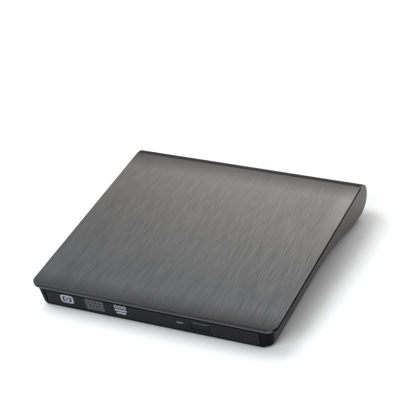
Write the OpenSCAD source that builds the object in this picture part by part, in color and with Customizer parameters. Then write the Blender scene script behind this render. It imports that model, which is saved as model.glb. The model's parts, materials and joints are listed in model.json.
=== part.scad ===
// External slimline optical disc drive: a wedge-shaped case around a 9.5 mm tray-loading drive.
// Case frame: X to the right, Y from the front edge to the rear, Z up from the top face.
// Drive frame: the same axes, measured from the drive's front flange and its underside.

/* [Case] */
// Width of the case
case_w = 147; // [145:0.5:150]
// Thickness of the slim front part
front_h = 13.9; // [13.7:0.1:15]
// Thickness at the rear hump
hump_h = 21.2; // [20:0.2:24]
// Distance from the front edge to the rearmost point
case_d = 151.8; // [150:0.2:154]
// Wall thickness of the bottom shell
wall = 1.8; // [1.4:0.1:2]
// Forward tilt of the top face when the case stands on its feet, in degrees
tilt = 3.5; // [3:0.1:4]
// Height of the lowest shell edge over the table
ground_gap = 0.9; // [0.6:0.1:1.5]

/* [Top cover] */
// Height of the cover's rim
cover_rim = 1.6; // [1.4:0.1:1.8]
// Thickness of the cover plate
cover_t = 1.0; // [0.8:0.1:1.2]
// Radius of the front corners, seen from above
corner_r = 6; // [4:0.5:8]
// Where the cover ends at the rear
cover_end = 140; // [138:0.5:141]
// Shadow gap between the cover and the shell
seam = 0.25; // [0.15:0.05:0.3]

/* [Drive] */
// Width of the slimline drive
drive_w = 128; // [128:128]
// Height of the slimline drive
drive_h = 9.5; // [9.5:9.5]
// Depth of the drive behind its flange
drive_len = 126; // [126:126]
// Sheet thickness of the drive's steel housing
sheet = 0.5; // [0.4:0.1:0.5]
// Radius of the disc recess in the tray
recess_r = 60.4; // [60.2:0.1:60.5]
// Radius of the hub that centres the disc
hub_r = 7.45; // [7.4:0.01:7.48]

/* [Controls] */
// Width of the eject button
button_w = 10.5; // [9:0.5:12]
// Height of the eject button
button_h = 4.5; // [4:0.1:5]
// Gap around the eject button
button_gap = 0.45; // [0.3:0.05:0.5]
// Centre of the eject button, right of the middle
button_x = 30; // [28:0.5:32]

/* [Hidden] */

$fn = 48;
eps = 0.01;
gap = 0.3;          // room between pieces that move past each other
half_w = case_w / 2;

// Side profile of the case, all in depths below the top face
step_y = 66;        // where the underside starts to fall towards the hump
low_r = 8.5;        // lower radius of the rear end
top_r = 12.5;       // upper radius of the rear end
low_y = case_d - low_r;
top_y = case_d - top_r;
fall = hump_h - front_h;
fall_len = low_y - step_y;
fall_angle = 2 * atan(fall / fall_len);
crest_r = 116;      // radius of the hump's lowest stretch
hollow_r = fall_len / sin(fall_angle) - crest_r;
turn_y = low_y - crest_r * sin(fall_angle);
face_lean = 0.133;  // how far the front face runs back for each millimetre down
nose_r = 1.2;       // round at the lower front edge
shell_r = 8.4;      // radius of the shell's front corners, seen from above
shell_in = [1.4, 0.1];      // how far the side sits in from the cover's edge: slim part, hump
shell_lean = [0.16, 0.03];  // inward lean of the side wall: slim part, hump
shell_round = [1.2, 1.4];   // round along the side's lower edge: slim part, hump
shell_top = cover_rim + seam;

// Drive position in the case
drive_y = 4.8;
drive_z = -12.6;
bay_w = drive_w + 1.2;
wall_x = drive_w / 2 - sheet;   // inner face of the steel side wall
floor_t = 1.1;

// Drive frame levels
lid_z = drive_h - sheet;
tab_z = [8.6, lid_z];
lid_screw_x = 61.2;
lid_screw_y = [5, 123];
tray_w = 61.3;      // half width of the tray
tray_y = [0.2, 124.2];
tray_z = [1.0, 8.2];
skirt_x = 58.8;     // inner face of the tray's side skirts
deck_z = [4.9, 5.9];
hub_y = 62.5;
rail_z = [2.1, 4.7];
latch_x = 28;       // the lock pin and the free channel it runs in
latch_y = 14;
flex_x = [32, 46];
flex_bend_y = 50;
sled_turn = 225;    // direction of the pickup's travel, seen from above
lens_start = 24;    // distance of the lens from the spindle when parked
rod_v = 11.5;
rod_r = 1;
rod_z = 3;
screw_v = 16.3;
screw_z = 3.2;
window_v = 13.3;
window_u = 66.8;
led_x = 17.9;
pin_x = 22;
case_posts = [for (x = [-66.9, 66.9], y = [22, 126]) [x, y]];
foot_places = [[-52, 12], [52, 12], [-48, 135.3], [48, 135.3]];
damper_places = [[-11, -13.6], [-11, 13.6], [57, -16.2]];
tab_r = 2.4;
plate_screw_places = [[10, 8], [52, 40]];

// --- shared shapes ---

module block(x, y, z) {
    translate([x[0], y[0], z[0]]) cube([x[1] - x[0], y[1] - y[0], z[1] - z[0]]);
}

module post(x, y, r, z) {
    translate([x, y, z[0]]) cylinder(r = r, h = z[1] - z[0]);
}

// a cylinder along the direction of the pickup's travel
module along_u(r, u, v, z) {
    translate([u[0], v, z]) rotate([0, 90, 0]) cylinder(r = r, h = u[1] - u[0]);
}

// a side profile drawn as [y, z] points or shapes, made as wide as x
module across_x(x) {
    translate([x[0], 0, 0]) rotate([90, 0, 90]) linear_extrude(x[1] - x[0]) children();
}

// the middle of the case's footprint, along the table
base_y = (2.2 * (cos(tilt) + sin(tilt)) - 2.2 + low_y * cos(tilt) + top_r * sin(tilt) + low_r) / 2;
base_z = front_h * cos(tilt) - face_lean * front_h * sin(tilt) + ground_gap;

module stand() {
    translate([0, -base_y, base_z]) rotate([tilt, 0, 0]) children();
}

module in_drive() {
    stand() translate([0, drive_y, drive_z]) children();
}

module in_traverse() {
    in_drive() translate([0, hub_y, 0]) rotate([0, 0, sled_turn]) children();
}

module in_hub() {
    in_drive() translate([0, hub_y, 0]) children();
}

// --- the case ---

function bottom_at(y) =
    y < nose_r ? front_h - nose_r + sqrt(max(0, pow(nose_r, 2) - pow(nose_r - y, 2)))
    : y <= step_y ? front_h
    : y <= turn_y ? front_h + hollow_r - sqrt(pow(hollow_r, 2) - pow(y - step_y, 2))
    : y <= low_y ? hump_h - crest_r + sqrt(pow(crest_r, 2) - pow(low_y - y, 2))
    : top_r + sqrt(max(0, pow(low_r, 2) - pow(y - low_y, 2)));

function top_at(y) =
    y <= cover_end + seam ? shell_top
    : top_r - sqrt(max(0, pow(top_r, 2) - pow(y - top_y, 2)));

// how far the front corner's rounding takes the side in at y
function corner_in(y) = y >= shell_r ? 0
    : shell_r - sqrt(pow(shell_r, 2) - pow(shell_r - y, 2));

// a [slim part, hump] pair, blended by how far the underside has fallen at y
function along(pair, y) =
    pair[0] + (pair[1] - pair[0]) * (max(bottom_at(min(y, low_y)), front_h) - front_h) / fall;

edge_steps = 6;

// one half of the shell's cross-section at y, from the rim down to the flat underside
function half_section(y, inset) =
    let (top = top_at(y) + (y > cover_end + seam ? inset : 0),
         low = bottom_at(y) - inset,
         deep = max(low - top, 0.2),
         r = min(along(shell_round, y), deep * 0.45),
         side = half_w - along(shell_in, y) - inset - corner_in(y + 0.3),
         lean = along(shell_lean, y),
         turn = atan(lean),
         cx = side - lean * (top + deep - r - shell_top) - r)
    concat([[side - lean * (top - shell_top), top]],
        [for (i = [0:edge_steps]) let (a = turn + (90 - turn) * i / edge_steps)
            [cx + r * cos(a), top + deep - r + r * sin(a)]]);

function ring_at(y, inset) =
    let (half = half_section(y, inset), n = len(half))
    [for (p = concat(half, [for (i = [n - 1:-1:0]) [-half[i][0], half[i][1]]]))
        [p[0], y + face_lean * (p[1] - shell_top) * max(0, 1 - y / 20), -p[1]]];

shell_ys = concat([0, 0.15, 0.4, 0.8, nose_r, 1.9, 2.8, 4, 5.6, 8.1, 13, 20, step_y],
    [for (i = [1:8]) step_y + (turn_y - step_y) * i / 8],
    [for (i = [1:4]) turn_y + (cover_end - turn_y) * i / 4],
    [cover_end + seam, cover_end + seam + 0.02, low_y],
    [for (a = [15:15:75]) low_y + low_r * sin(a)], [case_d - 0.04]);

inner_ys = concat([3.6, 4.6, 6.2, 8.1, 13, 20, step_y],
    [for (i = [1:8]) step_y + (turn_y - step_y) * i / 8],
    [for (i = [1:4]) turn_y + (cover_end - turn_y) * i / 4],
    [cover_end + seam, cover_end + seam + 0.02, low_y],
    [for (a = [15:15:45]) low_y + low_r * sin(a)]);

module loft(ys, inset) {
    rings = [for (y = ys) ring_at(y, inset)];
    n = len(rings[0]);
    last = len(rings) - 1;
    sides = [for (i = [0:last - 1], j = [0:n - 1], part = [0, 1])
        let (a = i * n + j, b = i * n + (j + 1) % n, c = a + n, d = b + n)
        part == 0 ? [a, c, b] : [b, c, d]];
    polyhedron([for (ring = rings) each ring],
        concat(sides, [[for (j = [0:n - 1]) j]], [[for (j = [n - 1:-1:0]) last * n + j]]));
}

module foot_spot(place) {
    translate([place[0], place[1], -bottom_at(place[1])]) rotate([-tilt, 0, 0]) children();
}

module bottom_shell() color("#1c1c20") stand() difference() {
    union() {
        difference() {
            loft(shell_ys, 0);
            loft(inner_ys, wall);
            // the floor under the drive is thinner than the walls
            block([-bay_w / 2, bay_w / 2], [3.6, 100], [-front_h + floor_t, -shell_top + 1]);
            // open top
            block([-half_w + 4.6, half_w - 4.6], [3.6, cover_end - 2], [-6, 1]);
        }
        // bosses for the case screws
        for (p = case_posts) post(p[0], p[1], 2.5, [-bottom_at(p[1]) + 0.6, -11.2]);
        // posts for the bridge board and the drive bracket
        for (x = [-48, 8]) post(x, 141, 2.4, [-hump_h + 1, -13.2]);
        post(31, 137, 2.4, [-hump_h + 1, -11.2]);
        // ribs that carry the rear of the drive
        for (x = [-40, 40]) block([x - 0.8, x + 0.8], [118, 128], [-bottom_at(118) + 0.6, drive_z]);
    }
    // front bay for the drive and its bezel
    block([-bay_w / 2, bay_w / 2], [-3, 8], [drive_z - 0.1, drive_z + drive_h + 0.15]);
    // case screw holes and counterbores
    for (p = case_posts) {
        post(p[0], p[1], 1.2, [-30, 0]);
        post(p[0], p[1], 2.0, [-30, -12.5]);
    }
    // screw holes in the inner posts
    for (x = [-48, 8]) post(x, 141, 0.8, [-17, -12]);
    post(31, 137, 0.8, [-15, -10]);
    // opening and flat around the USB socket
    block([-26.3, -13.7], [140, 160], [-12.2, -9.2]);
    block([-28, -12], [149.6, 160], [-13.2, -8.2]);
    // pockets for the feet
    for (p = foot_places) foot_spot(p) translate([0, 0, -1]) cylinder(r = 4.6, h = 1.5);
}

module cover_outline() {
    translate([-half_w + corner_r, 0]) square([case_w - 2 * corner_r, cover_end]);
    translate([-half_w, corner_r]) square([case_w, cover_end - corner_r]);
    for (s = [-1, 1]) translate([s * (half_w - corner_r), corner_r]) circle(corner_r);
}

module top_cover() color("#77767a") stand() difference() {
    union() {
        difference() {
            intersection() {
                translate([0, 0, -cover_rim]) linear_extrude(cover_rim) cover_outline();
                // the front edge rolls over
                across_x([-half_w - 1, half_w + 1]) union() {
                    translate([cover_rim, -cover_rim]) circle(cover_rim);
                    translate([cover_rim, -cover_rim - 1]) square([cover_end, cover_rim + 1]);
                    translate([0, -cover_rim - 1]) square([cover_rim, 1]);
                }
            }
            block([-half_w + 2, half_w - 2], [5, cover_end - 1.5], [-cover_rim - 1, -cover_t]);
        }
        for (p = case_posts) post(p[0], p[1], 2.1, [-11.2, -cover_t + 0.1]);
    }
    for (p = case_posts) post(p[0], p[1], 0.9, [-12, -6]);
}

module foot(place) color("#101012") stand() foot_spot(place) {
    drop = base_z + place[1] * sin(tilt) - bottom_at(place[1]) * cos(tilt);
    translate([0, 0, -drop + 0.4]) cylinder(r = 4.5, h = drop + 0.1);
    translate([0, 0, -drop]) cylinder(r1 = 4.1, r2 = 4.5, h = 0.4);
}

module foot_front_left() foot(foot_places[0]);
module foot_front_right() foot(foot_places[1]);
module foot_rear_left() foot(foot_places[2]);
module foot_rear_right() foot(foot_places[3]);

// a pan-head screw with a cross recess, head down at the origin, shank up
module pan_screw(r, length, head_r, head_h) {
    difference() {
        union() {
            translate([0, 0, -head_h]) cylinder(r = head_r, h = head_h);
            cylinder(r = r, h = length);
        }
        for (a = [0, 90]) rotate([0, 0, a]) translate([0, 0, -head_h]) {
            cube([head_r * 1.1, head_r * 0.3, head_h], center = true);
        }
    }
}

module case_screws() color("#2a2a2c") stand() for (p = case_posts) {
    translate([p[0], p[1], -12.5]) pan_screw(0.9, 5, 1.8, 0.9);
}

// screws driven from above
module screw_down(x, y, z, length) {
    translate([x, y, z]) mirror([0, 0, 1]) pan_screw(0.8, length, 1.7, 0.8);
}

module inner_screws() color("#b8b8b4") stand() {
    for (x = [-48, 8]) screw_down(x, 141, -12.2, 3.8);
    screw_down(31, 137, -10.6, 3.6);
}

module bridge_board() color("#1f5a3c") stand() difference() {
    block([-52, 12], [132, 146], [-13.2, -12.2]);
    for (x = [-48, 8]) post(x, 141, 0.8, [-14, -12]);
}

module bridge_chips() color("#18181a") stand() {
    block([-9, -2], [134, 141], [-12.2, -11.3]);
    block([-50, -47], [133, 135], [-12.2, -11.2]);
    for (y = [134, 136.4]) block([1, 2.6], [y, y + 0.8], [-12.2, -11.6]);
}

module sata_receptacle() color("#202024") stand() difference() {
    block([-44, -12], [131, 138], [-12.2, -7.8]);
    // the slot that takes the drive's contact tongue
    block([-42.4, -13.6], [130, 134.6], [-10.6, -9.2]);
}

module usb_socket() color("#c8c9cc") stand() difference() {
    block([-26.2, -13.8], [141, 149.8], [-12.2, -9.3]);
    block([-25.8, -14.2], [142, 150], [-11.8, -9.7]);
}

module usb_tongue() color("#1a1a1c") stand() {
    block([-25.2, -19.6], [142, 148.6], [-11.1, -10.5]);
    block([-18.8, -14.8], [142, 148.6], [-11.1, -10.5]);
}

module rear_bracket() color("#b4b6b8") stand() difference() {
    union() {
        block([18, 44], [drive_y + drive_len, drive_y + drive_len + 0.6], [-11.2, -4.2]);
        block([26, 36], [drive_y + drive_len, 141], [-11.2, -10.6]);
    }
    post(31, 137, 0.8, [-12, -10]);
}

// --- the drive's fixed parts ---

module drive_chassis() color("#a9abad") in_drive() difference() {
    union() {
        difference() {
            block([-drive_w / 2, drive_w / 2], [0, drive_len], [0, lid_z]);
            block([-wall_x, wall_x], [-1, drive_len - sheet], [sheet, lid_z + 1]);
        }
        // folded tabs for the lid screws
        for (s = [-1, 1], y = lid_screw_y) block([s * 61.7 - 2.2, s * 61.7 + 2.2], [y - 2, y + 2], tab_z);
    }
    for (x = [-lid_screw_x, lid_screw_x], y = lid_screw_y) post(x, y, 0.8, [8, 10]);
    // opening for the rear connector
    block([-45, -11], [drive_len - 1, drive_len + 1], [1.2, 5.2]);
}

module drive_lid() color("#b2b4b6") in_drive() difference() {
    block([-drive_w / 2, drive_w / 2], [0.3, drive_len], [lid_z, drive_h]);
    for (x = [-lid_screw_x, lid_screw_x], y = lid_screw_y) post(x, y, 0.8, [8, 12]);
}

module lid_screws() color("#8e8f91") in_drive() for (x = [-lid_screw_x, lid_screw_x], y = lid_screw_y) {
    translate([x, y, drive_h]) mirror([0, 0, 1]) pan_screw(0.8, 0.9, 1.5, 0.35);
}

module guide(side) color("#d7d3c6") in_drive() difference() {
    rail_x = [side * 61.6, side * wall_x];
    block([min(rail_x), max(rail_x)], [2, 122], [sheet, 6]);
    slot_x = [side * 61, side * 63];
    block([min(slot_x), max(slot_x)], [1, 123], [rail_z[0] - gap, rail_z[1] + gap]);
}

module guide_left() guide(-1);
module guide_right() guide(1);

module rail(side) color("#8c9094") in_drive() difference() {
    body_x = [side * 60.3, side * 62.7];
    block([min(body_x), max(body_x)], [4, 120], rail_z);
    // pressed grooves along both edges
    for (z = rail_z) block([side * 61.5 - 0.4, side * 61.5 + 0.4], [3, 121], [z - 0.4, z + 0.4]);
}

module rail_left() rail(-1);
module rail_right() rail(1);

module drive_board() color("#226144") in_drive() difference() {
    block([-58, 50], [107.5, 122], [0.8, 1.6]);
    for (x = [-54, 26]) post(x, 118, 1.1, [0, 3]);
}

module drive_chips() color("#17171a") in_drive() {
    block([-6, 6], [109, 121], [1.6, 2.8]);
    block([12, 19], [110, 117], [1.6, 2.6]);
    block([-56, -50], [109, 114], [1.6, 2.5]);
    // connector of the flat flex cable
    block([flex_x[0] - 1, flex_x[1] + 1], [109, 112], [1.6, 2.7]);
}

module sata_plug() color("#1d1d20") in_drive() {
    block([-44, -12], [119, 126.2], [1.6, 3.4]);
    block([-42, -14], [119, 126.2], [3.4, 4.5]);
}

module flex_floor_leg() color("#c9b48a") in_drive() across_x([flex_x[0], flex_x[1]]) {
    polygon([[1, 0.52], [106, 0.52], [107.2, 1.62], [109, 1.62], [109, 1.77], [107.1, 1.77],
        [105.9, 0.67], [1, 0.67]]);
}

module lock_pin() color("#c2c4c6") in_drive() {
    post(latch_x, latch_y, 1.2, [sheet, 3.2]);
    post(latch_x, latch_y, 1.5, [sheet, 0.9]);
}

// the bend of the flat flex cable, which runs at half the tray's speed
module flex_loop() color("#c9b48a") in_drive() across_x([flex_x[0], flex_x[1]]) {
    bend_z = 1.95;
    outer_r = 1.2;
    translate([flex_bend_y, bend_z]) difference() {
        circle(outer_r);
        circle(outer_r - 0.15);
        translate([0, -2]) square(4);
    }
    translate([flex_bend_y - eps, bend_z - outer_r]) square([24, 0.15]);
    translate([flex_bend_y - eps, bend_z + outer_r - 0.15]) square([6, 0.15]);
}

// --- the tray and what rides on it ---

module traverse_outline(grow) {
    polygon([[-17 - grow, -17 - grow], [-17 - grow, 17 + grow], [58.5, 19.5 + grow],
        [68.3 + grow, 12.5 + grow], [68.3 + grow, -12.5 - grow], [58.5, -19.5 - grow]]);
}

// tab of the tray deck over a damper at p, running out past the traverse
module damper_tab(p, r) {
    translate([p[0], p[1]]) circle(r);
    translate([p[0] - r, p[1] > 0 ? p[1] : p[1] - 8]) square([2 * r, 8]);
}

module tray() color("#26262a") in_drive() difference() {
    union() {
        difference() {
            block([-tray_w, tray_w], tray_y, tray_z);
            translate([0, hub_y, deck_z[1]]) cylinder(r = recess_r, h = 5, $fn = 120);
            // hollow underside, open at the rear over the fixed board
            block([-skirt_x, skirt_x], [2, 130], [0, deck_z[0]]);
            // hollow corners outside the disc recess
            difference() {
                block([-skirt_x, skirt_x], [2, tray_y[1] - 1.6], [deck_z[0] - 1, 7.2]);
                translate([0, hub_y, -1]) cylinder(r = recess_r + 1.2, h = 12, $fn = 120);
            }
        }
        // pivot post of the latch and posts for the base plate
        post(23.5, 27, 1.1, [1.2, 5]);
        for (p = plate_screw_places) post(p[0], p[1], 2, [1.2, 5]);
    }
    // opening over the traverse, with tabs that the dampers hang from
    translate([0, hub_y, 3]) rotate([0, 0, sled_turn]) difference() {
        linear_extrude(4) traverse_outline(0.5);
        linear_extrude(4) for (p = damper_places) damper_tab(p, tab_r);
    }
    translate([0, hub_y, 0]) rotate([0, 0, sled_turn]) for (p = damper_places) {
        post(p[0], p[1], 0.7, [4, 5.7]);
    }
    // grooves for the sliding rails
    for (s = [-1, 1]) {
        block([s * 60.65 - 0.65 - eps, s * 60.65 + 0.65 + eps], [1.5, 130],
            [rail_z[0] - gap, rail_z[1] + gap]);
    }
    // holes in the front wall for the button stem, the light guide and the release pin
    block([button_x - 1.6, button_x + 1.6], [-1, 3], [2.2, 4.2]);
    block([led_x - 2.2, led_x + 2.2], [-1, 3], [4.0, 6.4]);
    translate([pin_x, 0, 3.7]) rotate([-90, 0, 0]) cylinder(r = 0.8, h = 4, center = true);
    for (p = plate_screw_places) post(p[0], p[1], 0.7, [0, 4.2]);
}

module bezel_face(x) {
    across_x(x) polygon([[face_y(drive_h), drive_h], [0, drive_h], [0, 0], [face_y(0), 0]]);
}

// front face of the bezel in the drive frame
function face_y(z) = 0.25 - drive_y + face_lean * (-(drive_z + z) - shell_top);

module tray_bezel() color("#141418") in_drive() difference() {
    bezel_face([-drive_w / 2, drive_w / 2]);
    // hollow back
    block([-61.5, 61.5], [-2.6, 1], [1.2, 8.2]);
    // button opening, light slot and release hole
    block([button_x - button_w / 2 - button_gap, button_x + button_w / 2 + button_gap], [-8, 1],
        [5.1 - button_h / 2 - button_gap, 5.1 + button_h / 2 + button_gap]);
    block([led_x - 1.9, led_x + 1.9], [-8, 1], [5.0, 6.1]);
    translate([pin_x, 0, 3.7]) rotate([90, 0, 0]) cylinder(r = 0.6, h = 8);
}

module led_lens() color("#d5dde2") in_drive() union() {
    intersection() {
        block([led_x - 1.85, led_x + 1.85], [-8, 2.4], [5.05, 6.05]);
        bezel_face([led_x - 3, led_x + 3]);
    }
    block([led_x - 1.85, led_x + 1.85], [-0.2, 2.4], [5.05, 6.05]);
}

module eject_button() color("#17171c") in_drive() union() {
    intersection() {
        block([button_x - button_w / 2, button_x + button_w / 2], [-8, -1.2],
            [5.1 - button_h / 2, 5.1 + button_h / 2]);
        translate([0, 0.1, 0]) bezel_face([button_x - 10, button_x + 10]);
    }
    block([button_x - 1.1, button_x + 1.1], [-2, 1.9], [2.75, 3.7]);
}

module tray_board() color("#206040") in_drive() difference() {
    union() {
        block([13, 58.3], [2.2, 9], [4.1, 4.9]);
        block([49, 58.3], [2.2, 118], [4.1, 4.9]);
        block([31, 58.3], [110, 118], [4.1, 4.9]);
    }
    post(52, 40, 2.3, [3, 6]);
}

module eject_switch() color("#c4c0b6") in_drive() {
    block([button_x - 2.2, button_x + 2.2], [3.2, 5.6], [2.2, 4.1]);
    block([button_x - 0.7, button_x + 0.7], [2.75, 3.2], [2.9, 3.6]);
}

module flex_tray_leg() color("#c9b48a") in_drive() across_x([flex_x[0], flex_x[1]]) {
    polygon([[flex_bend_y, 3.23], [113.4, 3.23], [114.6, 4.1], [114.2, 4.1], [113.2, 3.38],
        [flex_bend_y, 3.38]]);
}

module tray_plate() color("#9fa2a5") in_drive() difference() {
    block([4, 58.4], [2.4, 44], [0.8, 1.2]);
    // channel for the lock pin
    block([latch_x - 2.1, latch_x + 2.1], [12, 50], [0, 2]);
    for (p = plate_screw_places) post(p[0], p[1], 0.7, [0, 2]);
    for (p = plate_screw_places) countersink(p);
}

module countersink(p) {
    translate([p[0], p[1], 0.8]) cylinder(r1 = 1.1, r2 = 0.7, h = 0.4);
}

module plate_screws() color("#8e8f91") in_drive() for (p = plate_screw_places) {
    post(p[0], p[1], 0.7, [0.8, 3.6]);
    countersink(p);
}

// lever that hooks behind the lock pin; stored in its released place
module latch_lever() color("#d9d4c4") in_drive() difference() {
    union() {
        post(23.5, 27, 2.3, [1.5, 2.7]);
        block([22.4, 24.6], [15.4, 27], [1.5, 2.7]);
        block([22.4, 25.8], [15.4, 17], [1.5, 2.7]);
        block([20.8, 23.2], [6.8, 17], [1.5, 2.7]);
        block([20.8, 23.2], [6.8, 7.8], [1.5, 3.8]);
        // armature towards the solenoid
        block([20.4, 23], [20, 24], [1.5, 3.9]);
    }
    post(23.5, 27, 1.15, [0, 6]);
}

module latch_solenoid() color("#b3672f") in_drive() {
    block([8, 19], [19, 21], [1.4, 4.8]);
    block([8, 19], [29, 31], [1.4, 4.8]);
    along_y(1.4, 13.5, [21, 29], 3.1);
    block([8, 10], [21, 29], [1.4, 4.8]);
}

module along_y(r, x, y, z) {
    translate([x, y[0], z]) rotate([-90, 0, 0]) cylinder(r = r, h = y[1] - y[0]);
}

// --- the traverse: frame, pickup and spindle ---

module traverse_frame() color("#35373b") in_traverse() difference() {
    translate([0, 0, 1.3]) linear_extrude(4) traverse_outline(0);
    // window for the pickup and hole for the spindle motor
    block([13.5, window_u], [-window_v, window_v], [0, 6]);
    post(0, 0, 13, [0, 6]);
    // trough for the leadscrew, open to the window
    block([4.4, 57.6], [window_v - 1, screw_v + 2.3], [0, 4.6]);
    block([4.4, 18.6], [screw_v - 2.3, screw_v + 2.3], [4, 6]);
    // seats of the guide rods
    for (v = [-rod_v, rod_v]) along_u(rod_r, [9.5, window_u + 0.9], v, rod_z);
    along_u(0.55, [57, 59.2], screw_v, screw_z);
    for (p = damper_places) post(p[0], p[1], 2, [0, 6]);
    for (p = damper_places) translate([0, 0, 4.6]) linear_extrude(2) damper_tab(p, tab_r + gap);
}

module traverse_cover() color("#c3c5c8") in_traverse() difference() {
    translate([0, 0, 5.3]) linear_extrude(0.3) traverse_outline(0);
    post(0, 0, 13.6, [5, 6]);
    block([13, window_u], [-6.6, 6.6], [5, 6]);
    for (p = damper_places) translate([0, 0, 5]) linear_extrude(1) damper_tab(p, tab_r + gap);
}

module dampers() color("#3b2f4a") in_traverse() for (p = damper_places) difference() {
    post(p[0], p[1], 1.95, [1.5, deck_z[0]]);
    post(p[0], p[1], 0.75, [1, 5]);
}

module damper_screws() color("#a2a4a6") in_traverse() for (p = damper_places) {
    post(p[0], p[1], 0.7, [1.5, 5.6]);
    post(p[0], p[1], 1.9, [1.0, 1.5]);
}

module guide_rod(v) color("#dfe1e3") in_traverse() {
    along_u(rod_r, [9.5, window_u + 0.9], v, rod_z);
}

module guide_rod_main() guide_rod(-rod_v);
module guide_rod_sub() guide_rod(rod_v);

module sled_motor() color("#b9bbbd") in_traverse() difference() {
    along_u(2, [5, 18], screw_v, screw_z);
    along_u(0.55, [12, 19], screw_v, screw_z);
}

module leadscrew() color("#d0d2d4") in_traverse() {
    along_u(0.5, [12.3, 59], screw_v, screw_z);
    along_u(1, [18.5, 57.2], screw_v, screw_z);
}

module in_pickup() {
    in_traverse() translate([lens_start, 0, 0]) children();
}

module pickup_body() color("#4a4c50") in_pickup() difference() {
    block([-8.5, 8.5], [-13, 13], [1.2, 5.0]);
    // bore on the main rod and slot on the other
    along_u(rod_r + 0.05, [-9, 9], -rod_v, rod_z);
    block([-9, 9], [rod_v - 1.3, 14], [rod_z - rod_r - 0.05, rod_z + rod_r + 0.05]);
    // pocket for the lens actuator
    block([-4.2, 4.2], [-5.2, 5.2], [1.8, 6]);
    // cut corners at the outer end
    for (s = [-1, 1]) translate([8.5, s * 13, 3]) rotate([0, 0, 45]) cube([3, 3, 6], center = true);
}

module actuator_cover() color("#8f9194") in_pickup() difference() {
    block([-6, 6], [-6, 6], [5.0, 5.75]);
    block([-5, 5], [-5.6, 5.6], [4, 5.5]);
    post(0, 0, 3, [4, 7]);
}

module lens_holder() color("#23252a") in_pickup() difference() {
    block([-3.2, 3.2], [-4.2, 4.2], [2.7, 4.9]);
    post(0, 0, 2.0, [2, 4.6]);
    post(0, 0, 2.3, [4.6, 6]);
}

module objective_lens() color("#b8d4e6") in_pickup() {
    post(0, 0, 2.3, [4.6, 4.9]);
    translate([0, 0, 4.9]) intersection() {
        cylinder(r = 2.2, h = 0.6);
        translate([0, 0, -4.1]) sphere(r = 4.7);
    }
}

module rack_follower() color("#e4e1d6") in_pickup() difference() {
    union() {
        block([-4.8, -1.2], [13, screw_v + 1.2], [3.2, 4.4]);
        block([-4.8, -1.2], [13, screw_v - 1.3], [2.0, 4.4]);
    }
    along_u(1.06, [-6, 0], screw_v, screw_z);
}

module spindle_base() color("#8d8f92") in_hub() difference() {
    post(0, 0, 15, [0.8, 1.3]);
    post(0, 0, 1.6, [0, 2]);
}

module spindle_stator() color("#b06a35") in_hub() difference() {
    union() {
        post(0, 0, 5.2, [1.3, 3.6]);
        for (i = [0:8]) rotate([0, 0, i * 40]) {
            block([4, 9.2], [-0.7, 0.7], [1.9, 3.2]);
            block([5.6, 8.2], [-1.3, 1.3], [1.5, 3.6]);
        }
    }
    post(0, 0, 3, [1, 5]);
}

module spindle_bearing() color("#c79a4b") in_hub() difference() {
    post(0, 0, 3, [1.3, 4.5]);
    post(0, 0, 1.5, [1, 5]);
}

claw_z = [6.9, 7.9];

module spindle_rotor() color("#c9cbce") in_hub() difference() {
    union() {
        post(0, 0, 1.45, [1.6, 5]);
        difference() {
            post(0, 0, 12.2, [1.8, 5.6]);
            post(0, 0, 11.3, [1, 4.8]);
        }
        post(0, 0, 12.8, [5.6, 6.3]);
        post(0, 0, hub_r, [6.3, 8.0]);
        translate([0, 0, 8]) cylinder(r1 = hub_r, r2 = hub_r - 0.6, h = 0.5);
    }
    // slots for the claws
    for (a = [0, 120, 240]) rotate([0, 0, a]) {
        block([3.6, 9], [-1.4, 1.4], [claw_z[0] - 0.3, claw_z[1] + 0.3]);
    }
}

module rotor_magnet() color("#3a3c40") in_hub() difference() {
    post(0, 0, 11.3, [2, 4.8]);
    post(0, 0, 10.1, [1, 5]);
}

module turntable_pad() color("#121214") in_hub() difference() {
    post(0, 0, 12.8, [6.3, 6.6]);
    post(0, 0, 9.4, [6, 7]);
}

module hub_claw(a) color("#e8e6de") in_hub() rotate([0, 0, a]) intersection() {
    block([4.8, 8], [-1.1, 1.1], claw_z);
    post(0, 0, hub_r, [6, 9]);
}

module hub_claw_1() hub_claw(0);
module hub_claw_2() hub_claw(120);
module hub_claw_3() hub_claw(240);

top_cover();
bottom_shell();
foot_front_left();
foot_front_right();
foot_rear_left();
foot_rear_right();
case_screws();
inner_screws();
bridge_board();
bridge_chips();
sata_receptacle();
usb_socket();
usb_tongue();
rear_bracket();
drive_chassis();
drive_lid();
lid_screws();
guide_left();
guide_right();
drive_board();
drive_chips();
sata_plug();
flex_floor_leg();
lock_pin();
rail_left();
rail_right();
flex_loop();
tray();
tray_bezel();
led_lens();
eject_button();
tray_board();
eject_switch();
flex_tray_leg();
tray_plate();
plate_screws();
latch_lever();
latch_solenoid();
traverse_frame();
traverse_cover();
dampers();
damper_screws();
guide_rod_main();
guide_rod_sub();
sled_motor();
leadscrew();
pickup_body();
actuator_cover();
lens_holder();
objective_lens();
rack_follower();
spindle_base();
spindle_stator();
spindle_bearing();
spindle_rotor();
rotor_magnet();
turntable_pad();
hub_claw_1();
hub_claw_2();
hub_claw_3();
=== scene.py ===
import json
import math

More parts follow.
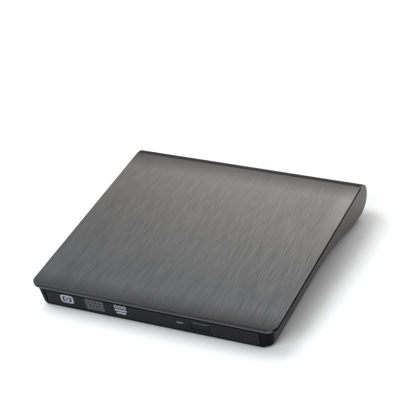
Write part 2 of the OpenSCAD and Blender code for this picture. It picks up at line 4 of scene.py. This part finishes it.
import bmesh
import bpy
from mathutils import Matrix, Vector


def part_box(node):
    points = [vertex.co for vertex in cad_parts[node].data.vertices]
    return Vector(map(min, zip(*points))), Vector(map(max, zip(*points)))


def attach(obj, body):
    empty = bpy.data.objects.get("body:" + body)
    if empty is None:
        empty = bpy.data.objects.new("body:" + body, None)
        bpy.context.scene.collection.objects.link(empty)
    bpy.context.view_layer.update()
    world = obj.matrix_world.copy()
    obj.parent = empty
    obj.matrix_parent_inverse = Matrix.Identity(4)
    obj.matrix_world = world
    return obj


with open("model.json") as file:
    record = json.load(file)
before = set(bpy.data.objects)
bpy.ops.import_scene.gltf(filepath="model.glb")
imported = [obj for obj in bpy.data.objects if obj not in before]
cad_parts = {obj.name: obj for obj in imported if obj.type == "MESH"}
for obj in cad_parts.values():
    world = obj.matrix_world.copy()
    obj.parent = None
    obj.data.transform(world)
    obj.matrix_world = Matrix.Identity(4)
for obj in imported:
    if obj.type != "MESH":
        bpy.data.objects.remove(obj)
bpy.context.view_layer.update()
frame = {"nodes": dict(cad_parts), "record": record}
nodes = frame["nodes"]

MM = 0.001
# the cover's front and rear edges, in millimetres along Y
COVER_FRONT, COVER_REAR = (corner.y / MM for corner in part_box("top_cover"))

# ---------------------------------------------------------------- shader help

# the colour sockets of a Mix node
MIX_A, MIX_B, MIX_RESULT = 6, 7, 2


class Shader:
    """A Principled material whose colour, gloss and bump are built from node textures."""

    def __init__(self, name, **sockets):
        self.material = bpy.data.materials.new(name)
        self.material.use_nodes = True
        self.tree = self.material.node_tree
        self.bsdf = self.tree.nodes["Principled BSDF"]
        for socket, value in sockets.items():
            self.bsdf.inputs[socket.replace("_", " ")].default_value = value
        coordinates = self.add("ShaderNodeTexCoord")
        self.place = coordinates.outputs["Object"]
        self.normal = coordinates.outputs["Normal"]
        self.bumped = None

    def add(self, kind, **settings):
        node = self.tree.nodes.new(kind)
        for key, value in settings.items():
            setattr(node, key, value)
        return node

    def link(self, out, socket):
        self.tree.links.new(out, socket)

    def socket(self, name, value):
        self.link(value, self.bsdf.inputs[name])

    # textures

    def mapped(self, scale, shift=(0, 0, 0)):
        """The object's own coordinates, in metres, scaled to features per metre."""
        node = self.add("ShaderNodeMapping")
        node.inputs["Scale"].default_value = scale if hasattr(scale, "__len__") else (scale,) * 3
        node.inputs["Location"].default_value = shift
        self.link(self.place, node.inputs["Vector"])
        return node.outputs["Vector"]

    def noise(self, scale, detail=3.0, rough=0.5, shift=(0, 0, 0)):
        node = self.add("ShaderNodeTexNoise")
        node.inputs["Scale"].default_value = 1.0
        node.inputs["Detail"].default_value = detail
        node.inputs["Roughness"].default_value = rough
        self.link(self.mapped(scale, shift), node.inputs["Vector"])
        return node.outputs["Fac"]

    def cells(self, scale, feature):
        """The distance to each cell's middle (F1) or edge (DISTANCE_TO_EDGE)."""
        node = self.add("ShaderNodeTexVoronoi", feature=feature)
        node.inputs["Scale"].default_value = 1.0
        self.link(self.mapped(scale), node.inputs["Vector"])
        return node.outputs["Distance"]

    def bands(self, direction, scale, distortion=0.0):
        """Parallel bands that follow one another along the direction."""
        node = self.add("ShaderNodeTexWave", wave_type="BANDS", bands_direction=direction)
        node.inputs["Scale"].default_value = scale
        node.inputs["Distortion"].default_value = distortion
        self.link(self.place, node.inputs["Vector"])
        return node.outputs["Fac"]

    # sums and mixtures

    def math(self, how, a, b):
        node = self.add("ShaderNodeMath", operation=how)
        for socket, value in zip(node.inputs, (a, b)):
            if isinstance(value, (int, float)):
                socket.default_value = value
            else:
                self.link(value, socket)
        return node.outputs[0]

    def blend(self, *shares):
        """The sum of values, each given with its weight."""
        total = None
        for value, weight in shares:
            share = self.math("MULTIPLY", value, weight)
            total = share if total is None else self.math("ADD", total, share)
        return total

    def range(self, value, low, high, to_low, to_high):
        """Carries low to to_low and high to to_high, and stays there beyond them."""
        node = self.add("ShaderNodeMapRange")
        ends = {"From Min": low, "From Max": high, "To Min": to_low, "To Max": to_high}
        for socket, number in ends.items():
            node.inputs[socket].default_value = number
        self.link(value, node.inputs["Value"])
        return node.outputs["Result"]

    def mix(self, factor, a, b):
        """From a to b; each is a colour or another node's output."""
        node = self.add("ShaderNodeMix", data_type="RGBA")
        self.link(factor, node.inputs["Factor"])
        for socket, value in ((node.inputs[MIX_A], a), (node.inputs[MIX_B], b)):
            if hasattr(value, "is_linked"):
                self.link(value, socket)
            else:
                socket.default_value = (*value, 1)
        return node.outputs[MIX_RESULT]

    def mottle(self, tone, dark, light, low=0.35, high=0.65):
        """Dark where a noise is low and light where it is high."""
        return self.mix(self.range(tone, low, high, 0, 1), dark, light)

    # where on the object, and which way it faces

    def axis(self, vector, axis):
        split = self.add("ShaderNodeSeparateXYZ")
        self.link(vector, split.inputs[0])
        return split.outputs[axis]

    def size_along(self, vector, axis):
        """The size of the vector's part along the axis, whichever way it points."""
        return self.math("ABSOLUTE", self.axis(vector, axis), 0)

    def facing(self, axis, start, full):
        """0 to 1 as the surface turns to face along the axis, either way."""
        return self.range(self.size_along(self.normal, axis), start, full, 0, 1)

    def from_to(self, axis, start, full, to_low=0, to_high=1):
        """to_low to to_high between two places along the axis, in millimetres in the row frame."""
        return self.range(self.axis(self.place, axis), start * MM, full * MM, to_low, to_high)

    # what the surface shows

    def colour(self, out):
        self.socket("Base Color", out)

    def roughness(self, noise, low, high):
        """Low to high over nearly the whole spread of a noise."""
        self.socket("Roughness", self.range(noise, 0.3, 0.7, low, high))

    def bump(self, height, depth):
        """Raises the surface by height times depth millimetres, on top of any earlier bump."""
        node = self.add("ShaderNodeBump")
        node.inputs["Strength"].default_value = 1.0
        node.inputs["Distance"].default_value = depth * MM
        self.link(height, node.inputs["Height"])
        if self.bumped is not None:
            self.link(self.bumped, node.inputs["Normal"])
        self.bumped = node.outputs["Normal"]
        self.socket("Normal", self.bumped)


# ---------------------------------------------------------------- materials


def grained(name, dark, light, rough, grain, depth, blotch=60, spread=0.12, **sockets):
    """A moulded, rubber or cast surface: fine grain in the bump, slow variation in colour and gloss."""
    s = Shader(name, **sockets)
    slow = s.noise(blotch, detail=4)
    fine = s.noise(grain, detail=2)
    s.colour(s.mottle(s.blend((slow, 0.6), (fine, 0.4)), dark, light))
    s.roughness(slow, rough - spread / 2, rough + spread / 2)
    s.bump(fine, depth)
    return s.material


def metal(name, dark, light, rough, lines, depth=0.004, spread=0.12):
    """Bare or plated metal with faint rolling lines and smudges; lines are per metre along X, Y, Z."""
    s = Shader(name, Metallic=1.0)
    smudge = s.noise(90, detail=5, rough=0.6)
    roll = s.noise(lines, detail=3)
    s.colour(s.mottle(s.blend((smudge, 0.5), (roll, 0.5)), dark, light))
    s.roughness(smudge, rough - spread / 2, rough + spread / 2)
    s.bump(roll, depth)
    return s.material


def cover_metal():
    """Brushed gunmetal: streaks along the case's depth at three widths, with painted shade along its edges
    and painted light across the plate.
    """
    s = Shader("cover_brushed", IOR=1.45)
    hair = s.noise((2300, 90, 90), detail=2, rough=0.6)
    streak = s.noise((1150, 42, 42), detail=3, rough=0.6)
    band = s.noise((260, 9, 9), detail=2, shift=(3.1, 0.7, 0))
    tone = s.blend((hair, 0.45), (streak, 0.42), (band, 0.13))
    # near-black for the painted shade along the edges, sides and left of the plate
    edge = (0.004, 0.004, 0.005)

    # painted light and shade: lighter and warmer towards the rear, darker towards the front
    rearward = s.from_to("Y", -50, 60)
    low = s.mix(rearward, (0.050, 0.052, 0.056), (0.082, 0.078, 0.074))
    high = s.mix(rearward, (0.096, 0.097, 0.100), (0.138, 0.132, 0.125))
    brushed_and_painted_light = s.mottle(tone, low, high, 0.36, 0.64)

    # a painted highlight, a pale stretch by the right edge in the rear half, and painted shade darker towards
    # the left
    painted_right_highlight = s.math("MULTIPLY", s.from_to("X", 61, 69, 0, 0.25), s.from_to("Y", -5, 45))
    brushed_and_painted_light = s.mix(painted_right_highlight, brushed_and_painted_light, (0.30, 0.29, 0.28))
    brushed_and_painted_light = s.mix(s.from_to("X", 60, -70, 0, 0.18), brushed_and_painted_light, edge)

    # painted shade: darker along the front and rear edges, where the sheet rolls over
    brushed_and_painted_light = s.mix(s.from_to("Y", COVER_FRONT + 14, COVER_FRONT + 0.5, 0, 0.85), brushed_and_painted_light, edge)
    brushed_and_painted_light = s.mix(s.from_to("Y", COVER_REAR - 15, COVER_REAR, 0, 0.9), brushed_and_painted_light, edge)

    # painted shade, black, where the sheet turns down; a painted highlight, grey, on the lip's faces that
    # stand upright; and painted shade, black, at the sides
    upright = s.mix(s.facing("Z", 0.22, 0.08), edge, (0.085, 0.085, 0.09))
    front = s.mix(s.facing("Z", 0.99, 0.86), brushed_and_painted_light, upright)
    side = s.facing("X", 0.5, 0.8)
    s.colour(s.mix(side, front, edge))

    shine = s.range(side, 0, 1, 0.5, 0)
    s.socket("Metallic", shine)
    s.socket("Specular IOR Level", shine)
    s.roughness(streak, 0.31, 0.38)
    s.bump(hair, 0.004)
    s.bump(streak, 0.004)
    return s.material


def shell_plastic():
    """Black shell whose upright side faces are painted grey for the light they catch, with painted shade
    darkening them towards the front.
    """
    s = Shader("shell_satin")
    slow = s.noise(35, detail=4)
    fine = s.noise(4200, detail=2)
    tone = s.blend((slow, 0.5), (fine, 0.5))
    black = s.mottle(tone, (0.005, 0.005, 0.006), (0.008, 0.008, 0.010))
    # painted light and shade on the side faces: darker towards the front, paler towards the rear
    painted_side_light = s.mix(s.from_to("Y", -45, 55), (0.036, 0.034, 0.033), (0.116, 0.111, 0.108))
    grey = s.mix(s.range(tone, 0.30, 0.70, 0, 0.25), painted_side_light, (0.16, 0.155, 0.15))

    # only the outer walls take the painted grey light, not the walls of the bezel's opening
    outer = s.range(s.size_along(s.place, "X"), 67 * MM, 69 * MM, 0, 1)
    side = s.math("MULTIPLY", s.facing("X", 0.86, 0.99), outer)
    s.colour(s.mix(side, black, grey))
    s.socket("Specular IOR Level", s.range(side, 0, 1, 0.02, 0.10))
    s.roughness(slow, 0.38, 0.5)
    s.bump(fine, 0.006)
    return s.material


def bezel_plastic(name="bezel_satin", upper=(0.002, 0.002, 0.002)):
    """Satin black whose end faces, seen only down the gaps, are painted near-black as the shade there.

    upper is the colour painted on the edges that face up; a pale one is a painted highlight.
    """
    s = Shader(name, Specular_IOR_Level=0.10)
    slow = s.noise(50, detail=4)
    fine = s.noise(4200, detail=2)
    tone = s.blend((slow, 0.6), (fine, 0.4))
    satin = s.mottle(tone, (0.006, 0.006, 0.008), (0.010, 0.010, 0.012))
    # the edges that face up take upper, a painted highlight where it is pale
    satin = s.mix(s.range(s.axis(s.normal, "Z"), 0.35, 0.8, 0, 1), satin, upper)
    # painted shade: the end faces down the gaps are near-black
    s.colour(s.mix(s.facing("X", 0.75, 0.95), satin, (0.001, 0.001, 0.001)))
    s.roughness(slow, 0.34, 0.42)
    s.bump(fine, 0.004)
    return s.material


def board():
    """Solder mask over tracks, with pads and vias."""
    s = Shader("board_green", Coat_Weight=0.5, Coat_Roughness=0.15)
    track = s.range(s.cells((260, 420, 1), "DISTANCE_TO_EDGE"), 0.03, 0.07, 1, 0)
    pad = s.range(s.cells((420, 420, 1), "F1"), 0.16, 0.2, 1, 0)
    mask = s.mix(track, (0.012, 0.075, 0.040), (0.035, 0.17, 0.085))
    s.colour(s.mix(pad, mask, (0.55, 0.50, 0.38)))
    s.roughness(s.noise(300), 0.35, 0.5)
    s.bump(track, 0.02)
    s.bump(pad, 0.02)
    return s.material


def flex_film():
    """Amber film over parallel copper tracks."""
    s = Shader("flex_amber", Coat_Weight=0.4, Coat_Roughness=0.1)
    tracks = s.bands("X", 160)
    s.colour(s.mottle(tracks, (0.36, 0.16, 0.045), (0.62, 0.36, 0.16)))
    s.roughness(s.noise(150), 0.25, 0.4)
    s.bump(tracks, 0.02)
    return s.material


def copper_coil():
    """Enamelled wire laid in turns."""
    s = Shader("coil_copper", Metallic=0.9)
    turns = s.bands("Y", 900, distortion=0.6)
    s.colour(s.mix(turns, (0.28, 0.09, 0.03), (0.72, 0.30, 0.12)))
    s.roughness(s.noise(500), 0.25, 0.45)
    s.bump(turns, 0.06)
    return s.material


def lens_glass():
    """Coated lens whose cast drifts between blue and violet."""
    s = Shader("lens_glass", Roughness=0.04, IOR=1.52, Coat_Weight=1.0, Coat_Roughness=0.02)
    tint = s.noise(400, detail=1)
    s.colour(s.mix(tint, (0.05, 0.10, 0.22), (0.12, 0.08, 0.26)))
    s.bump(tint, 0.002)
    return s.material


def light_guide():
    """Smoky plastic that lets a little light through."""
    s = Shader("light_guide", Roughness=0.3, Transmission_Weight=0.15, IOR=1.49)
    fine = s.noise(2500, detail=2)
    s.colour(s.mix(fine, (0.11, 0.115, 0.125), (0.17, 0.175, 0.185)))
    s.bump(fine, 0.01)
    return s.material


# one finish for each of the record's material slots
MATERIALS = {
    "cover_metal": cover_metal(),
    "shell_plastic": shell_plastic(),
    "bezel_plastic": bezel_plastic(),
    "tray_plastic": grained(
        "tray_satin", (0.020, 0.020, 0.022), (0.030, 0.030, 0.033), rough=0.42, grain=3800, depth=0.008),
    "foot_rubber": grained(
        "foot_rubber", (0.012, 0.012, 0.012), (0.024, 0.023, 0.022), rough=0.75, grain=2600, depth=0.03),
    "damper_rubber": grained(
        "damper_rubber", (0.030, 0.020, 0.045), (0.055, 0.038, 0.075), rough=0.7, grain=2600, depth=0.02),
    "pad_rubber": grained(
        "pad_rubber", (0.010, 0.010, 0.011), (0.020, 0.020, 0.021), rough=0.8, grain=3600, depth=0.02),
    "dark_nylon": grained(
        "nylon_dark", (0.014, 0.014, 0.016), (0.026, 0.026, 0.029), rough=0.45, grain=3000, depth=0.01),
    "pale_nylon": grained(
        "nylon_pale", (0.62, 0.58, 0.49), (0.72, 0.69, 0.60), rough=0.45, grain=2500, depth=0.01,
        Subsurface_Weight=0.1, Subsurface_Radius=(0.001, 0.0008, 0.0006)),
    "chip": grained(
        "chip_epoxy", (0.014, 0.014, 0.015), (0.024, 0.024, 0.025), rough=0.55, grain=6000, depth=0.01),
    "cast_dark": grained(
        "cast_dark", (0.030, 0.031, 0.034), (0.060, 0.061, 0.065), rough=0.48, grain=2200, depth=0.03,
        Metallic=0.6),
    "ferrite": grained(
        "ferrite", (0.030, 0.030, 0.032), (0.065, 0.065, 0.068), rough=0.6, grain=3000, depth=0.02),
    "dark_screw": metal(
        "screw_black", (0.020, 0.020, 0.021), (0.045, 0.045, 0.047), rough=0.38, lines=(1500, 1500, 200)),
    "zinc_steel": metal(
        "steel_zinc", (0.46, 0.47, 0.47), (0.62, 0.62, 0.61), rough=0.34, lines=(1400, 60, 60)),
    "bright_steel": metal(
        "steel_bright", (0.66, 0.66, 0.65), (0.78, 0.78, 0.77), rough=0.16, lines=(2500, 2500, 2500)),
    "bronze": metal(
        "bronze", (0.44, 0.28, 0.11), (0.60, 0.40, 0.17), rough=0.35, lines=(1800, 1800, 1800)),
    "board": board(),
    "flex_film": flex_film(),
    "copper_coil": copper_coil(),
    "lens_glass": lens_glass(),
    "light_guide": light_guide(),
}


# ---------------------------------------------------------------- edges and shading

WELD = 2e-6  # metres, well under any real edge

# degrees up to which a node is shaded smooth, and millimetres by which its edges are rounded
SMOOTH_ANGLES = {"bottom_shell": 32, "top_cover": 25, "tray_bezel": 30, "eject_button": 30, "led_lens": 30}
ROUNDED_EDGES = {"eject_button": 0.4, "led_lens": 0.12}


def smoothing_group():
    """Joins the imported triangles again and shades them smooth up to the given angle.

    Returns the node group and the name of its angle socket.
    """
    tree = bpy.data.node_groups.new("smooth_by_angle", "GeometryNodeTree")
    tree.interface.new_socket("Geometry", in_out="INPUT", socket_type="NodeSocketGeometry")
    limit = tree.interface.new_socket("Angle", in_out="INPUT", socket_type="NodeSocketFloat")
    tree.interface.new_socket("Geometry", in_out="OUTPUT", socket_type="NodeSocketGeometry")
    start = tree.nodes.new("NodeGroupInput")
    end = tree.nodes.new("NodeGroupOutput")
    clear = tree.nodes.new("GeometryNodeRemoveAttribute")
    clear.inputs["Name"].default_value = "custom_normal"
    merge = tree.nodes.new("GeometryNodeMergeByDistance")
    merge.inputs["Distance"].default_value = WELD
    smooth = tree.nodes.new("GeometryNodeSetShadeSmooth")
    crease = tree.nodes.new("GeometryNodeSetShadeSmooth")
    crease.domain = "EDGE"
    crease.inputs["Shade Smooth"].default_value = False
    angle = tree.nodes.new("GeometryNodeInputMeshEdgeAngle")
    above = tree.nodes.new("FunctionNodeCompare")
    above.data_type = "FLOAT"
    above.operation = "GREATER_THAN"
    for a, b in (
        (start.outputs["Geometry"], clear.inputs["Geometry"]),
        (clear.outputs["Geometry"], merge.inputs["Geometry"]),
        (merge.outputs["Geometry"], smooth.inputs["Geometry"]),
        (smooth.outputs["Geometry"], crease.inputs["Geometry"]),
        (angle.outputs["Unsigned Angle"], above.inputs[0]),
        (start.outputs["Angle"], above.inputs[1]),
        (above.outputs["Result"], crease.inputs["Selection"]),
        (crease.outputs["Geometry"], end.inputs["Geometry"]),
    ):
        tree.links.new(a, b)
    return tree, limit.identifier


SMOOTHING, ANGLE_SOCKET = smoothing_group()


def shade(obj, degrees):
    """Smooth shading, with a crease on every edge sharper than the given angle."""
    step = obj.modifiers.new("smooth", "NODES")
    step.node_group = SMOOTHING
    step[ANGLE_SOCKET] = math.radians(degrees)


def soften(obj, width, degrees=40, segments=2):
    """A small round, its width in millimetres, on every edge sharper than the given angle."""
    bevel = obj.modifiers.new("soften", "BEVEL")
    bevel.width = width * MM
    bevel.segments = segments
    bevel.limit_method = "ANGLE"
    bevel.angle_limit = math.radians(degrees)
    bevel.harden_normals = True


slots = {part["node"]: part["material_slot"] for part in frame["record"]["subparts"]}
for name, obj in nodes.items():
    obj.data.materials.clear()
    obj.data.materials.append(MATERIALS[slots[name]])

# a painted highlight on the button's upward edges, paler than the bezel's
nodes["eject_button"].data.materials[0] = bezel_plastic("button_painted_highlight", upper=(0.30, 0.30, 0.32))

for name, degrees in SMOOTH_ANGLES.items():
    shade(nodes[name], degrees)
for name, width in ROUNDED_EDGES.items():
    soften(nodes[name], width)

# ---------------------------------------------------------------- marks printed on the bezel

# millimetres: how far the ink stands off the face, and the smallest corner inside an outline
INK_PROUD = 0.03
LEAST_RADIUS = 0.05

# the bezel's leaning face runs from its foremost edge down to its lowest one
corners = [vertex.co for vertex in nodes["tray_bezel"].data.vertices]
brow = min(corners, key=lambda corner: corner.y)
sill = min(corners, key=lambda corner: corner.z)
down = Vector((0, sill.y - brow.y, sill.z - brow.z)).normalized()
outward = down.cross(Vector((1, 0, 0))).normalized()


def rounded(x, drop, width, height, radius, steps=5):
    """A rounded rectangle's outline, clockwise from its top right corner.

    Millimetres on the bezel's face: x across from the middle, drop down from the brow.
    """
    points = []
    for corner, (sx, sy) in enumerate(((1, 1), (1, -1), (-1, -1), (-1, 1))):
        for k in range(steps + 1):
            angle = math.radians(90 - 90 * corner - 90 * k / steps)
            points.append((x + sx * (width / 2 - radius) + radius * math.cos(angle),
                           drop - sy * (height / 2 - radius) - radius * math.sin(angle)))
    return points


class Print:
    """Ink on the bezel: flat patches and outlines that ride on the tray."""

    def __init__(self, name, paint):
        self.name = name
        self.paint = paint
        self.mesh = bmesh.new()

    def ring(self, outline):
        lift = outward * INK_PROUD * MM
        return [self.mesh.verts.new(Vector((x * MM, brow.y, brow.z)) + down * drop * MM + lift)
                for x, drop in outline]

    def patch(self, x, drop, width, height, radius):
        self.mesh.faces.new(self.ring(rounded(x, drop, width, height, radius)))

    def outline(self, x, drop, width, height, radius, line):
        inner_radius = max(radius - line, LEAST_RADIUS)
        outer = self.ring(rounded(x, drop, width, height, radius))
        inner = self.ring(rounded(x, drop, width - 2 * line, height - 2 * line, inner_radius))
        count = len(outer)
        for i in range(count):
            j = (i + 1) % count
            self.mesh.faces.new((outer[i], outer[j], inner[j], inner[i]))

    def done(self):
        bmesh.ops.recalc_face_normals(self.mesh, faces=self.mesh.faces)
        mesh = bpy.data.meshes.new(self.name)
        self.mesh.to_mesh(mesh)
        obj = bpy.data.objects.new(self.name, mesh)
        bpy.context.scene.collection.objects.link(obj)
        mesh.materials.append(self.paint)
        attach(obj, "tray")


def ink(name, dark, light):
    """Screen-printed ink, a little uneven in tone."""
    return grained(name, dark, light, rough=0.5, grain=3000, depth=0.004, blotch=700, spread=0.1)


bright_ink = ink("ink_bright", (0.20, 0.22, 0.27), (0.34, 0.36, 0.42))
dim_ink = ink("ink_dim", (0.055, 0.060, 0.075), (0.10, 0.11, 0.13))

# a plate with a ring in it
DISC_X, DISC_DROP = -51.0, 3.5
disc_mark = Print("bezel_mark_disc", bright_ink)
disc_mark.outline(DISC_X, DISC_DROP, width=7.8, height=5.8, radius=1.4, line=1.1)
disc_mark.outline(DISC_X, DISC_DROP, width=3.6, height=2.8, radius=1.35, line=0.8)
disc_mark.done()

# a frame around rows of small cells
GRID_X, GRID_DROP = -33.8, 3.95
GRID_ROWS, GRID_COLUMNS = 4, 5
CELL_X, CELL_DROP = -37.8, 1.55
CELL_STEP_X, CELL_STEP_DROP = 2.0, 1.6
grid_mark = Print("bezel_mark_grid", dim_ink)
grid_mark.outline(GRID_X, GRID_DROP, width=11.2, height=7.5, radius=0.8, line=0.4)
for row in range(GRID_ROWS):
    for column in range(GRID_COLUMNS):
        grid_mark.patch(CELL_X + CELL_STEP_X * column, CELL_DROP + CELL_STEP_DROP * row,
                        width=1.5, height=1.0, radius=0.3)
grid_mark.done()

# three small rings over two bars
STACK_X = -17.7
RING_PITCH, RING_DROP = 2.5, 1.4
BAR_DROP, BAR_PITCH = 4.0, 2.0
BAR_WIDTHS = (7.4, 5.8)
stack_mark = Print("bezel_mark_stack", bright_ink)
for column in (-1, 0, 1):
    stack_mark.outline(STACK_X + RING_PITCH * column, RING_DROP, width=2.2, height=2.3, radius=0.9, line=0.55)
for row, width in enumerate(BAR_WIDTHS):
    stack_mark.patch(STACK_X, BAR_DROP + BAR_PITCH * row, width, height=1.25, radius=0.4)
stack_mark.done()

# ---------------------------------------------------------------- the stage

# metres; the floor lies just under the feet
FLOOR_SIZE = 12
FLOOR_HEIGHT = -0.0001
WORLD_LIGHT = 0.54
MIDDLE = (0, 0, 0)


def floor_paper():
    """Pale matt paper."""
    s = Shader("floor_paper", Roughness=0.9, Specular_IOR_Level=0.1)
    s.colour(s.mix(s.noise(40, detail=5), (0.90, 0.905, 0.91), (0.93, 0.93, 0.93)))
    s.bump(s.noise(900), 0.02)
    return s.material


def floor_sheet():
    half = FLOOR_SIZE / 2
    corners = [(x * half, y * half, FLOOR_HEIGHT) for x, y in ((-1, -1), (1, -1), (1, 1), (-1, 1))]
    mesh = bpy.data.meshes.new("floor")
    mesh.from_pydata(corners, [], [(0, 1, 2, 3)])
    mesh.materials.append(floor_paper())
    obj = bpy.data.objects.new("floor", mesh)
    bpy.context.scene.collection.objects.link(obj)
    return obj


floor_sheet()


def softbox(name, place, aim, size, power, tint):
    """A rectangular light, its place, aim and size in metres and its power in watts."""
    light = bpy.data.lights.new(name, "AREA")
    light.shape = "RECTANGLE"
    light.size, light.size_y = size
    light.energy = power
    light.color = tint
    obj = bpy.data.objects.new(name, light)
    bpy.context.scene.collection.objects.link(obj)
    obj.location = place
    obj.rotation_euler = (Vector(aim) - Vector(place)).to_track_quat("-Z", "Y").to_euler()


COOL, WARM = (0.97, 0.985, 1), (1, 0.97, 0.945)
softbox("key", (-1.35, 0.35, 1.8), MIDDLE, (1.8, 1.8), 32, COOL)
softbox("rear", (-0.4, 2.1, 0.95), MIDDLE, (1.5, 0.6), 24, WARM)
softbox("front", (-0.7, -2.0, 1.2), (0, -0.2, 0), (1.6, 0.8), 36, COOL)

world = bpy.data.worlds.new("studio")
world.use_nodes = True
background = world.node_tree.nodes["Background"]
background.inputs["Color"].default_value = (1, 1, 1, 1)
background.inputs["Strength"].default_value = WORLD_LIGHT
bpy.context.scene.world = world
bpy.context.scene.view_settings.view_transform = "Standard"

# place, turn and lens solved together from the photo's straight edges
camera_data = bpy.data.cameras.new("camera")
camera_data.lens = 132.9
camera_data.sensor_width = 36
camera = bpy.data.objects.new("camera", camera_data)
bpy.context.scene.collection.objects.link(camera)
camera.location = (0.3212, -0.6472, 0.4708)
camera.rotation_euler = [math.radians(degrees) for degrees in (59.0, 4.16, 23.97)]
bpy.context.scene.camera = camera
